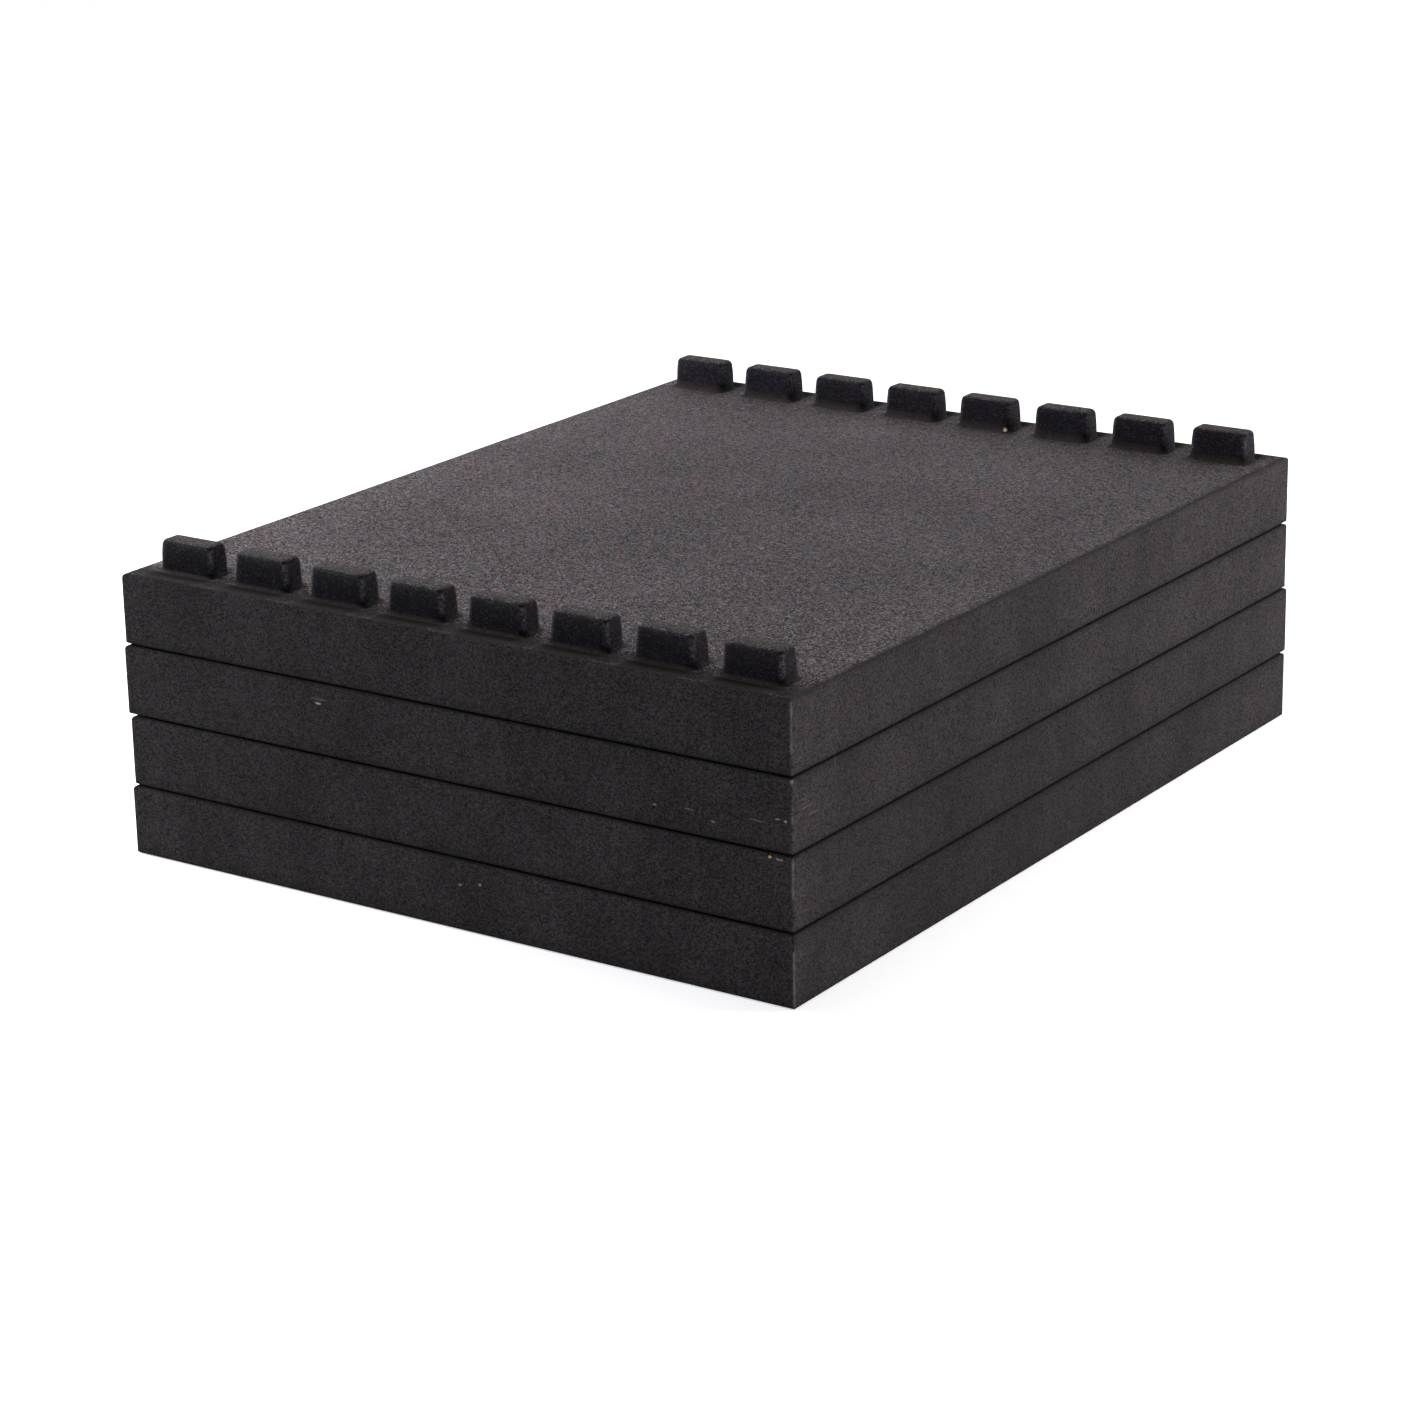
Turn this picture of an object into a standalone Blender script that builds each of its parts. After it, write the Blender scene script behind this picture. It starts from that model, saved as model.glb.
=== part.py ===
"""A stack of four thick black foam mats that key into each other.

Each mat is one moulding: a flat slab with a row of eight upright teeth along each short side, and a blind
channel along each short side of its underside. The teeth of one mat stand in the channels of the mat above, so
the stack lies flush and can't slide. A mat comes off the stack straight up.

Frame: metres, +Z up, X along the short sides, Y along the long sides. The origin is at the middle of the
stack's footprint, on the surface that it stands on.
"""

import bmesh
import bpy
from mathutils import Vector

MM = 0.001

# The slabs, from the floor up. A foam mat is trimmed to size, so widths and lengths differ by a millimetre or so.
NAMES = ("bottom_mat", "lower_middle_mat", "upper_middle_mat", "top_mat")
WIDTHS = (320.8 * MM, 319.4 * MM, 320.4 * MM, 319.4 * MM)
LENGTHS = (402.8 * MM, 403.4 * MM, 401.4 * MM, 401.3 * MM)
PITCH = 30.0 * MM               # height of one mat in the stack
SEAM = 0.4 * MM                 # gap between one mat and the next
MOULDED_TOP_EDGE = 3.5 * MM     # radius of the upper edges along the two moulded sides, at -X and +Y
MOULDED_BOTTOM_EDGE = 1.2 * MM  # radius of the lower edges there

# The two trimmed sides, at +X and -Y, are flush with each other through the whole stack.
TRIMMED_X = max(WIDTHS) / 2
TRIMMED_Y = -max(LENGTHS) / 2

# The teeth
TEETH_PER_ROW = 8
TOOTH_PITCH = 38.9 * MM
TOOTH_FOOT = Vector((27.8, 11.8)) * MM      # along the row, across the row
TOOTH_TOP = Vector((25.4, 10.2)) * MM
TOOTH_HEIGHT = 13.0 * MM
TOOTH_CORNER = 3.0 * MM         # chamfer of the upright corners
TOOTH_CROWN = 1.6 * MM          # chamfer round the top
TOOTH_FLARE = 2.4 * MM          # chamfer round the foot
TOOTH_ROOT = 3.0 * MM           # how far a tooth's tool reaches down into the slab
ROW_INSET = 17.1 * MM           # from a short side to the middle of its row of teeth
ROW_SHIFT = -0.5 * MM           # the rows lie a little towards the moulded side

# The channels in the underside
CHANNEL_CLEARANCE = 1.2 * MM    # round the feet of the teeth
CHANNEL_HEADROOM = 1.0 * MM     # over the tops of the teeth
CHANNEL_MOUTH = 3.2 * MM        # chamfer round the channel's mouth

FOAM_COLOUR = (0.045, 0.042, 0.043, 1.0)
FOAM_ROUGHNESS = 0.85


def clear_scene():
    for old in list(bpy.data.objects):
        bpy.data.objects.remove(old, do_unlink=True)


def foam_material(name):
    material = bpy.data.materials.new(name)
    material.use_nodes = True
    shader = material.node_tree.nodes["Principled BSDF"]
    shader.inputs["Base Color"].default_value = FOAM_COLOUR
    shader.inputs["Roughness"].default_value = FOAM_ROUGHNESS
    shader.inputs["Metallic"].default_value = 0.0
    return material


def chamfered_ring(mesh, centre, size, corner, z):
    """Eight vertices, anticlockwise from above: a rectangle with its four corners cut off."""
    half_x = size[0] / 2
    half_y = size[1] / 2
    outline = (
        (half_x, corner - half_y), (half_x, half_y - corner),
        (half_x - corner, half_y), (corner - half_x, half_y),
        (-half_x, half_y - corner), (-half_x, corner - half_y),
        (corner - half_x, -half_y), (half_x - corner, -half_y),
    )
    return [mesh.verts.new((centre[0] + x, centre[1] + y, z)) for x, y in outline]


def stacked_block(mesh, centre, levels, corner):
    """A closed block whose outline changes from level to level. Levels are (z, size), from the lowest up."""
    rings = [chamfered_ring(mesh, centre, size, corner, z) for z, size in levels]
    mesh.faces.new(list(reversed(rings[0])))
    mesh.faces.new(rings[-1])
    for lower, upper in zip(rings, rings[1:]):
        for i in range(len(lower)):
            j = (i + 1) % len(lower)
            mesh.faces.new((lower[i], lower[j], upper[j], upper[i]))


def grown(size, margin):
    """A size with the same margin added on every side."""
    return Vector((size[0] + 2 * margin, size[1] + 2 * margin))


def row_centres():
    """The middle of the row at -Y and of the row at +Y, measured from the mat's trimmed corner on the floor."""
    nominal_length = min(LENGTHS)
    return (ROW_INSET, nominal_length - ROW_INSET)


def row_middle_x():
    return TRIMMED_X - min(WIDTHS) / 2 + ROW_SHIFT


def teeth_mesh():
    """Both rows of teeth of one mat, standing on z = 0 and reaching a little below it."""
    levels = (
        (-TOOTH_ROOT, grown(TOOTH_FOOT, TOOTH_FLARE)),
        (0.0, grown(TOOTH_FOOT, TOOTH_FLARE)),
        (TOOTH_FLARE, TOOTH_FOOT),
        (TOOTH_HEIGHT - TOOTH_CROWN, TOOTH_TOP),
        (TOOTH_HEIGHT, grown(TOOTH_TOP, -TOOTH_CROWN)),
    )
    mesh = bmesh.new()
    for row_y in row_centres():
        for number in range(TEETH_PER_ROW):
            x = row_middle_x() + (number - (TEETH_PER_ROW - 1) / 2) * TOOTH_PITCH
            stacked_block(mesh, (x, TRIMMED_Y + row_y), levels, TOOTH_CORNER)
    return finished_mesh(mesh, "teeth")


def channels_mesh():
    """The space of both channels of one mat, from a little below its underside at z = 0."""
    row_span = Vector(((TEETH_PER_ROW - 1) * TOOTH_PITCH, 0.0))
    at_foot = grown(row_span + TOOTH_FOOT, CHANNEL_CLEARANCE)
    at_roof = grown(row_span + TOOTH_TOP, CHANNEL_CLEARANCE)
    below = 2.0 * MM
    levels = (
        (-below, grown(at_foot, CHANNEL_MOUTH + below)),
        (CHANNEL_MOUTH, at_foot),
        (TOOTH_HEIGHT + CHANNEL_HEADROOM, at_roof),
    )
    mesh = bmesh.new()
    for row_y in row_centres():
        stacked_block(mesh, (row_middle_x(), TRIMMED_Y + row_y), levels, TOOTH_CORNER)
    return finished_mesh(mesh, "channels")


def moulded_edges(mesh, width, length, height):
    """The level edges of the two moulded sides at one height."""
    moulded_x = TRIMMED_X - width
    moulded_y = TRIMMED_Y + length
    tiny = 0.01 * MM
    found = []
    for edge in mesh.edges:
        ends = [vertex.co for vertex in edge.verts]
        at_height = all(abs(end.z - height) < tiny for end in ends)
        at_x = all(abs(end.x - moulded_x) < tiny for end in ends)
        at_y = all(abs(end.y - moulded_y) < tiny for end in ends)
        if at_height and (at_x or at_y):
            found.append(edge)
    return found


def slab_mesh(width, length):
    """One slab on z = 0, with rounded edges along its moulded sides and sharp edges along its trimmed sides."""
    mesh = bmesh.new()
    bmesh.ops.create_cube(mesh, size=1.0)
    thickness = PITCH - SEAM
    for vertex in mesh.verts:
        vertex.co = Vector((
            TRIMMED_X - width * (0.5 - vertex.co.x),
            TRIMMED_Y + length * (0.5 + vertex.co.y),
            thickness * (0.5 + vertex.co.z),
        ))
    for height, radius, segments in ((thickness, MOULDED_TOP_EDGE, 3), (0.0, MOULDED_BOTTOM_EDGE, 1)):
        bmesh.ops.bevel(mesh, geom=moulded_edges(mesh, width, length, height), offset=radius,
                        offset_type="OFFSET", segments=segments, profile=0.5, affect="EDGES")
    return finished_mesh(mesh, "slab")


def finished_mesh(mesh, name):
    bmesh.ops.recalc_face_normals(mesh, faces=mesh.faces)
    data = bpy.data.meshes.new(name)
    mesh.to_mesh(data)
    mesh.free()
    return data


def placed(name, data, z):
    thing = bpy.data.objects.new(name, data)
    thing.location.z = z
    bpy.context.scene.collection.objects.link(thing)
    return thing


def as_tool(thing):
    thing.hide_render = True
    thing.display_type = "WIRE"
    return thing


def boolean(mat, tool, operation):
    modifier = mat.modifiers.new(tool.name, "BOOLEAN")
    modifier.operation = operation
    modifier.solver = "EXACT"
    modifier.object = tool


def make_mats():
    teeth = teeth_mesh()
    channels = channels_mesh()
    for level, name in enumerate(NAMES):
        base = level * PITCH
        mat = placed(name, slab_mesh(WIDTHS[level], LENGTHS[level]), base)
        mat.data.materials.append(foam_material(name + "_foam"))
        boolean(mat, as_tool(placed(name + "_teeth_tool", teeth, base + PITCH - SEAM)), "UNION")
        boolean(mat, as_tool(placed(name + "_channel_tool", channels, base)), "DIFFERENCE")


clear_scene()
make_mats()
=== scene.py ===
"""Four thick black foam mats stacked flush, each with a row of upright teeth along both short sides.

Every mat is one detailed mesh in place of its plain CAD solid: a slab with two moulded sides that have rounded
edges and two trimmed sides that are cut sharp, sixteen teeth that flow into the skin, and two channels in the
underside. Lengths are in metres, in the frame of the CAD model.
"""
import math

import bpy
import numpy as np
from mathutils import Matrix, Vector, noise


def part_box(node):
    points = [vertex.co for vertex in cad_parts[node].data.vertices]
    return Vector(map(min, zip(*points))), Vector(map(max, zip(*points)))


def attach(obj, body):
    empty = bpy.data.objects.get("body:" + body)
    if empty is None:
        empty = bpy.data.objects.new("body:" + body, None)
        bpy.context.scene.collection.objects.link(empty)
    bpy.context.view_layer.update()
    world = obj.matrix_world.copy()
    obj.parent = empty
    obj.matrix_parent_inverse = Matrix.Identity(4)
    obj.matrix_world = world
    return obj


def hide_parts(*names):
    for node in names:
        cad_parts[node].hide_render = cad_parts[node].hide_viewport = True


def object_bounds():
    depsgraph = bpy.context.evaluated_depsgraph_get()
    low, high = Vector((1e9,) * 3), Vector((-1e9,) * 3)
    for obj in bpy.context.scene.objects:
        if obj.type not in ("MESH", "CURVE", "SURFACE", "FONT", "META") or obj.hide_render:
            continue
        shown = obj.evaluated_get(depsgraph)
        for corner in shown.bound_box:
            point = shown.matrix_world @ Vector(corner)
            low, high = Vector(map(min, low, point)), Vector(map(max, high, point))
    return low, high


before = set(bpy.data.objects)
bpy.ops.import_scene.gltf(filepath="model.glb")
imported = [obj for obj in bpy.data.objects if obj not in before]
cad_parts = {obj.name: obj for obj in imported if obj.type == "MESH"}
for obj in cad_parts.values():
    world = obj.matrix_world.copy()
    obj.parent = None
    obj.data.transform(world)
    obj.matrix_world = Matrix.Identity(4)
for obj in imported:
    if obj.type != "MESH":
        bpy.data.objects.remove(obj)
cad_low, cad_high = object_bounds()

MM = 0.001

# ---------------------------------------------------------------- the mats

MATS = ("bottom_mat", "lower_middle_mat", "upper_middle_mat", "top_mat")
MOULDED_RADIUS = 3.5 * MM       # upper edges of the moulded sides, at -X and +Y
MOULDED_FOOT_RADIUS = 1.2 * MM  # lower edges of the moulded sides
CORNER_RADIUS = 3.0 * MM        # upright edge between the two moulded sides
CUT_RADIUS = 0.6 * MM           # every edge of the trimmed sides, at +X and -Y

# Teeth: eight a row, all alike, mirrored between the two rows so that the steeper side faces out.
TEETH = 8
TOOTH_HALF_X = 13.9 * MM
TOOTH_HALF_Y = 5.9 * MM
TOOTH_TAPER_X = 1.0 * MM
TOOTH_TAPER_Y = 0.8 * MM
TOOTH_HEIGHT = 13.0 * MM
TOOTH_CORNER = 2.2 * MM
FOOT_CORNER = 3.4 * MM
CROWN_SINK = (0.4 * MM, -0.15 * MM)     # how much lower than in the CAD the crowns of each row lie
CROWN_RADIUS = 1.9 * MM
FLARE_OUTER = 0.6 * MM          # fillet at the foot, on the side towards the edge of the mat
FLARE_SIDE = 1.2 * MM
FLARE_INNER = 2.5 * MM
END_FACING = 0.3                # the foot counts as a tooth's end where its normal's Y is smaller than this
CREASE_REACH = 0.45 * MM        # the crease outside the fillet
CREASE_DEPTH = 0.18 * MM
SKIRT = 1.0 * MM                # the even skin starts this far outside the fillet
ROW_INSET = 17.1 * MM
ROW_PITCH = (38.68 * MM, 39.04 * MM)    # the front row and the back row
ROW_SHIFT = (-0.05 * MM, -0.5 * MM)

# The patch of skin that is meshed around one tooth, the same for both rows
CELL_PITCH = 38.9 * MM
CELL_SHIFT = -0.3 * MM
CELL_HALF_X = 18.2 * MM
CELL_HALF_Y = 13.0 * MM
CELL_STEPS_X = 16
CELL_STEPS_Y = 13

# Channels in the underside
CHANNEL_CLEARANCE = 1.2 * MM
CHANNEL_DEPTH = TOOTH_HEIGHT + 1.0 * MM
CHANNEL_MOUTH = 3.2 * MM        # the rounding of the channel's lower edges
CHANNEL_CORNER = 3.0 * MM
CHANNEL_ROOF = 0.6 * MM         # and of its roof's

# The soft dip in the skin around each tooth
DIP_DEPTH = 0.7 * MM
DIP_REACH = 5.5 * MM

# The unevenness of foam: how high its waves are, and how many there are to a metre
SWELL, SWELL_WAVES = 0.22 * MM, 14
RIPPLE, RIPPLE_WAVES = 0.07 * MM, 70
SIDE_BOW, SIDE_WAVES = 0.15 * MM, 22
TOOTH_BULGE, TOOTH_WAVES = 0.12 * MM, 90
CROWN_WAVES = 160


def shortest(axis):
    """The smallest size of the four mats along X (0) or Y (1)."""
    sizes = []
    for name in MATS:
        low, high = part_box(name)
        sizes.append(high[axis] - low[axis])
    return min(sizes)


TRIMMED_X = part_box(MATS[0])[1][0]
TRIMMED_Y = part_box(MATS[0])[0][1]
MIDDLE_X = TRIMMED_X - shortest(0) / 2
ROWS_Y = (TRIMMED_Y + ROW_INSET, TRIMMED_Y + shortest(1) - ROW_INSET)


def tooth_x(number, row):
    return MIDDLE_X + ROW_SHIFT[row] + (number - (TEETH - 1) / 2) * ROW_PITCH[row]


def cell_x(number):
    """The middle of the patch of skin that holds a tooth of either row."""
    return MIDDLE_X + CELL_SHIFT + (number - (TEETH - 1) / 2) * CELL_PITCH


# Painted light and shade on each mat, from the bottom one up: how pale its trimmed right-hand side and its trimmed
# front are made
SIDE_LIGHT_AND_SHADE = (0.82, 0.84, 0.93, 0.98)
FRONT_LIGHT_AND_SHADE = (0.98, 0.86, 0.82, 0.80)

# In the front row and the back row: how dark painted shade makes the teeth's walls, and how pale their upright
# edges are painted, partly wear and partly painted highlight
WALL_PAINTED_SHADE = (0.50, 0.80)
ARRIS_WEAR_AND_HIGHLIGHT = (1.0, 0.7)

SEAM_WIDTH = 0.95 * MM          # painted shade along the seams between the mats
EDGE_FRINGE = (1.9 * MM, 0.9 * MM)      # the darker right-hand edge of the top mat, inwards and downwards
CORNER_WIDTH = 0.45 * MM        # a painted highlight along the upright corner between the trimmed sides
COARSE_REACH = 180 * MM         # how far back the skin's grain looks harsh and carries painted glints
SEED_STEP = 11.3                # keeps the unevenness of the mats apart


# ---------------------------------------------------------------- mesh helpers

def steps_between(start, stop, count):
    """Places strictly after start up to and including stop."""
    return [start + (stop - start) * (i + 1) / count for i in range(count)]


def cell_fractions(count):
    """From -1 to 1, a little closer together towards both ends."""
    fractions = []
    for i in range(count + 1):
        t = i / count
        fractions.append(2 * t - 1 - 0.2 * math.sin(2 * math.pi * t))
    return fractions


MOULDED_STEPS = [v * MM for v in (0.0, 0.3, 0.8, 1.4, 2.1, 2.8, 3.5)]
CUT_STEPS = [v * MM for v in (0.0, 0.15, 0.3, 0.6, 1.2)]
TOP_STEPS = [v * MM for v in (0.0, 0.15, 0.3, 0.6, 1.0, 1.5, 2.1, 2.8, 3.5)]
BOTTOM_STEPS = [v * MM for v in (0.0, 0.15, 0.3, 0.6, 0.9, 1.2)]


def stations_x(low_x, high_x):
    """All X places of the mat's grid, and the index where each tooth's cell starts."""
    places = [low_x + step for step in MOULDED_STEPS]
    cells = []
    for number in range(TEETH):
        centre = cell_x(number)
        start = centre - CELL_HALF_X
        if number == 0:
            places.append((places[-1] + start) / 2)
        places.append(start)
        cells.append(len(places) - 1)
        places.extend(centre + CELL_HALF_X * f for f in cell_fractions(CELL_STEPS_X)[1:])
    places.extend(steps_between(places[-1], high_x - CUT_STEPS[-1], 3)[:-1])
    places.extend(high_x - step for step in reversed(CUT_STEPS))
    return places, cells


def stations_y(low_y, high_y):
    places = [low_y + step for step in CUT_STEPS]
    cells = []
    front, back = ROWS_Y
    places.extend(steps_between(places[-1], front - CELL_HALF_Y, 2))
    cells.append(len(places) - 1)
    places.extend(front + CELL_HALF_Y * f for f in cell_fractions(CELL_STEPS_Y)[1:])
    field = back - CELL_HALF_Y - places[-1]
    places.extend(steps_between(places[-1], back - CELL_HALF_Y, round(field / (3.6 * MM))))
    cells.append(len(places) - 1)
    places.extend(back + CELL_HALF_Y * f for f in cell_fractions(CELL_STEPS_Y)[1:])
    places.append((places[-1] + high_y - MOULDED_STEPS[-1]) / 2)
    places.extend(high_y - step for step in reversed(MOULDED_STEPS))
    return places, cells


def stations_z(bottom, top):
    places = [bottom + step for step in BOTTOM_STEPS]
    places.extend(steps_between(places[-1], top - TOP_STEPS[-1], 5))
    places.extend(top - step for step in reversed(TOP_STEPS[:-1]))
    return places


def round_edge(points, p, q, side_p, side_q, inward_p, inward_q, radius):
    """Rounds one long edge of the box, where the planes p = side_p and q = side_q meet.

    The square of the section next to the edge is squeezed into a quarter disc, so the mesh keeps its faces.
    """
    u = 1 - (points[:, p] - side_p) * inward_p / radius
    v = 1 - (points[:, q] - side_q) * inward_q / radius
    near = (u > 1e-6) & (v > 1e-6)
    u = u[near]
    v = v[near]
    squeeze = np.maximum(u, v) / np.hypot(u, v)
    points[near, p] = side_p + inward_p * radius * (1 - u * squeeze)
    points[near, q] = side_q + inward_q * radius * (1 - v * squeeze)


def around_block(i0, i1, j0, j1):
    """Grid indices around a block, anticlockwise from its lowest corner."""
    loop = [(i, j0) for i in range(i0, i1)]
    loop += [(i1, j) for j in range(j0, j1)]
    loop += [(i, j1) for i in range(i1, i0, -1)]
    loop += [(i0, j) for j in range(j1, j0, -1)]
    return loop


def rounded_outline(fractions, half_x, half_y, corner):
    """Points and outward directions of a rounded rectangle, one for each pair of fractions on a square's rim."""
    points = []
    outwards = []
    for fx, fy in fractions:
        x = fx * half_x
        y = fy * half_y
        centre_x = math.copysign(half_x - corner, x)
        centre_y = math.copysign(half_y - corner, y)
        if abs(x) > half_x - corner and abs(y) > half_y - corner:
            out = Vector((x - centre_x, y - centre_y)).normalized()
            points.append(Vector((centre_x, centre_y)) + out * corner)
        else:
            out = Vector((math.copysign(1, x), 0)) if abs(fx) > 0.999 else Vector((0, math.copysign(1, y)))
            points.append(Vector((x, y)))
        outwards.append(out)
    return points, outwards


# ---------------------------------------------------------------- the skin's relief

def distance_to_tooth(x, y):
    """Where a point of the skin lies from the foot of the nearest tooth.

    Gives how far it is outside the foot, the parts of that along X and Y, measured from the corner's centre, and
    whether it is on the side towards the edge of the mat.
    """
    row = 0 if abs(y - ROWS_Y[0]) < abs(y - ROWS_Y[1]) else 1
    number = min(TEETH - 1, max(0, round((x - tooth_x(0, row)) / ROW_PITCH[row])))
    dx = x - tooth_x(number, row)
    dy = y - ROWS_Y[row]
    px = abs(dx) - (TOOTH_HALF_X - TOOTH_CORNER)
    py = abs(dy) - (TOOTH_HALF_Y - TOOTH_CORNER)
    away = math.hypot(max(px, 0), max(py, 0)) + min(max(px, py), 0) - TOOTH_CORNER
    outer = -dy if row == 0 else dy
    return away, max(px, 0), max(py, 0), outer > 0


def dip(x, y):
    """The shallow trough round a tooth, deepest on the side towards the edge of the mat."""
    away, px, py, is_outer = distance_to_tooth(x, y)
    if away > 4 * DIP_REACH:
        return 0.0
    across = py / (math.hypot(px, py) + 1e-9)
    strength = 0.35 + 0.65 * across * (1.0 if is_outer else 0.6)
    return -DIP_DEPTH * strength * math.exp(-(max(away, 0.0) / DIP_REACH) ** 2 * 1.4)


def waves(x, y, z, scale, seed):
    return noise.noise(Vector((x, y, z)) * scale + Vector((seed, seed * 1.7, -seed)))


def skin_height(x, y, seed):
    """Height of the top skin over its nominal plane: the dips round the teeth and the unevenness of foam."""
    swell = SWELL * waves(x, y, 0, SWELL_WAVES, seed) + RIPPLE * waves(x, y, 0, RIPPLE_WAVES, seed + 3)
    return dip(x, y) + swell


# ---------------------------------------------------------------- the strip outside each row

# All in mm, from the middle of the row towards the edge of the mat
STRIP_START = 14        # the strip's look starts this far before the row
FOOT_LINE = 4.9         # and the look in front of a tooth this far past the middle of the row


def clamp(value):
    return min(1.0, max(0.0, value))


def smooth_step(value):
    value = clamp(value)
    return value ** 2 * (3 - 2 * value)


def gap_light_and_shade(beyond, is_back_row):
    """Painted light and shade on the strip between two teeth, and how plain it is: painted paler between the teeth,
    where light comes through the gap, and darker and smoother towards the front edge, a painted shadow of the
    teeth.
    """
    if is_back_row:
        return 1 - 0.2 * min(1.0, beyond / 10), 0.0
    dull = 0.65 * clamp((beyond - 1.5) / 4.0)
    if beyond < 0:
        return 1 + 0.5 * math.exp(-(beyond / 3.5) ** 2), dull
    tone = 0.18 + 1.32 * math.exp(-(beyond / 3.6) ** 1.7)
    return tone * (1 + 1.05 * dull), dull


def front_light_and_shade(beyond):
    """Painted light and shade on the strip in front of a tooth: a painted highlight at its foot, then a dark band
    of painted shadow from the tooth, then a paler edge where the shadow ends.
    """
    past = max(beyond - FOOT_LINE, 0.0)
    foot_highlight = 2.3 * math.exp(-(past / 1.95) ** 2)
    edge_out_of_shadow = 0.66 * (1 - math.exp(-(max(past - 5.0, 0.0) / 4.0) ** 2))
    return 0.165 + foot_highlight + edge_out_of_shadow


# ---------------------------------------------------------------- one mat

SKIN, CUT, TOOTH = range(3)


class MatMesh:
    """Collects the vertices and faces of one mat.

    kinds holds each face's material. crowns, arrises and on_wall hold the vertices on the teeth that need a look
    of their own: the crowns, how near each is to a tooth's upright edge, and the walls.
    """

    def __init__(self, node, seed):
        low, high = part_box(node)
        self.seed = seed
        self.bottom = low[2]
        self.top = high[2] - TOOTH_HEIGHT
        self.low = low
        self.high = high
        self.xs, self.cells_x = stations_x(low[0], high[0])
        self.ys, self.cells_y = stations_y(low[1], high[1])
        self.zs = stations_z(self.bottom, self.top)
        self.points = []
        self.known = {}
        self.faces = []
        self.kinds = []
        self.crowns = set()
        self.arrises = {}
        self.on_wall = set()

    def corner(self, i, j, k):
        """The vertex at a grid place on the slab's surface."""
        key = (i, j, k)
        if key not in self.known:
            self.known[key] = len(self.points)
            self.points.append((self.xs[i], self.ys[j], self.zs[k]))
        return self.known[key]

    def free(self, point, crown=False):
        self.points.append(tuple(point))
        if crown:
            self.crowns.add(len(self.points) - 1)
        return len(self.points) - 1

    def face(self, corners, kind):
        self.faces.append(corners)
        self.kinds.append(kind)

    def sheet(self, k, upwards, blocks):
        """The top or the bottom of the slab, without the blocks that a tooth or a channel fills."""
        for i in range(len(self.xs) - 1):
            for j in range(len(self.ys) - 1):
                if any(i0 <= i < i1 and j0 <= j < j1 for i0, i1, j0, j1 in blocks):
                    continue
                quad = [self.corner(i, j, k), self.corner(i + 1, j, k),
                        self.corner(i + 1, j + 1, k), self.corner(i, j + 1, k)]
                self.face(quad if upwards else quad[::-1], SKIN)

    def walls(self):
        last_i = len(self.xs) - 1
        last_j = len(self.ys) - 1
        for k in range(len(self.zs) - 1):
            for i in range(last_i):
                for j, kind, outwards in ((0, CUT, True), (last_j, SKIN, False)):
                    quad = [self.corner(i, j, k), self.corner(i + 1, j, k),
                            self.corner(i + 1, j, k + 1), self.corner(i, j, k + 1)]
                    self.face(quad if outwards else quad[::-1], kind)
            for j in range(last_j):
                for i, kind, outwards in ((last_i, CUT, True), (0, SKIN, False)):
                    quad = [self.corner(i, j, k), self.corner(i, j + 1, k),
                            self.corner(i, j + 1, k + 1), self.corner(i, j, k + 1)]
                    self.face(quad if outwards else quad[::-1], kind)

    def round_edges(self):
        """Rounds the slab while it holds nothing but its own surface."""
        points = np.array(self.points)
        left, front = self.low[0], self.low[1]
        right, back = self.high[0], self.high[1]
        round_edge(points, 0, 1, left, back, 1, -1, CORNER_RADIUS)
        round_edge(points, 0, 2, left, self.top, 1, -1, MOULDED_RADIUS)
        round_edge(points, 1, 2, back, self.top, -1, -1, MOULDED_RADIUS)
        round_edge(points, 0, 2, left, self.bottom, 1, 1, MOULDED_FOOT_RADIUS)
        round_edge(points, 1, 2, back, self.bottom, -1, 1, MOULDED_FOOT_RADIUS)
        round_edge(points, 0, 1, right, front, -1, 1, CUT_RADIUS)
        round_edge(points, 0, 1, left, front, 1, 1, CUT_RADIUS)
        round_edge(points, 0, 1, right, back, -1, -1, CUT_RADIUS)
        for height, inward in ((self.top, -1), (self.bottom, 1)):
            round_edge(points, 1, 2, front, height, 1, inward, CUT_RADIUS)
            round_edge(points, 0, 2, right, height, -1, inward, CUT_RADIUS)
        self.points = [tuple(p) for p in points]

    def uneven(self):
        """Gives the slab the unevenness of foam: its skin follows the relief, and its sides aren't quite flat."""
        moved = []
        for x, y, z in self.points:
            near_top = max(0.0, 1 - (self.top - z) / (7 * MM))
            z += skin_height(x, y, self.seed) * near_top ** 2
            middle = math.sin(math.pi * min(1, max(0, (z - self.bottom) / (self.top - self.bottom))))
            on_side = SIDE_BOW * middle
            if x > self.high[0] - 0.7 * MM or x < self.low[0] + 2 * MM:
                x += on_side * waves(x, y, z, SIDE_WAVES, self.seed + 5)
            if y > self.high[1] - 2 * MM or y < self.low[1] + 0.7 * MM:
                y += on_side * waves(x, y, z, SIDE_WAVES, self.seed + 9)
            moved.append((x, y, z))
        self.points = moved

    def rings(self, loops, kinds, upwards):
        """Joins closed loops of equal length, each to the next. A kind may be a list with one for each face."""
        for loop, after, kind in zip(loops, loops[1:], kinds):
            for a in range(len(loop)):
                b = (a + 1) % len(loop)
                quad = [loop[a], loop[b], after[b], after[a]]
                self.face(quad if upwards else quad[::-1], kind[a] if isinstance(kind, list) else kind)

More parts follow.
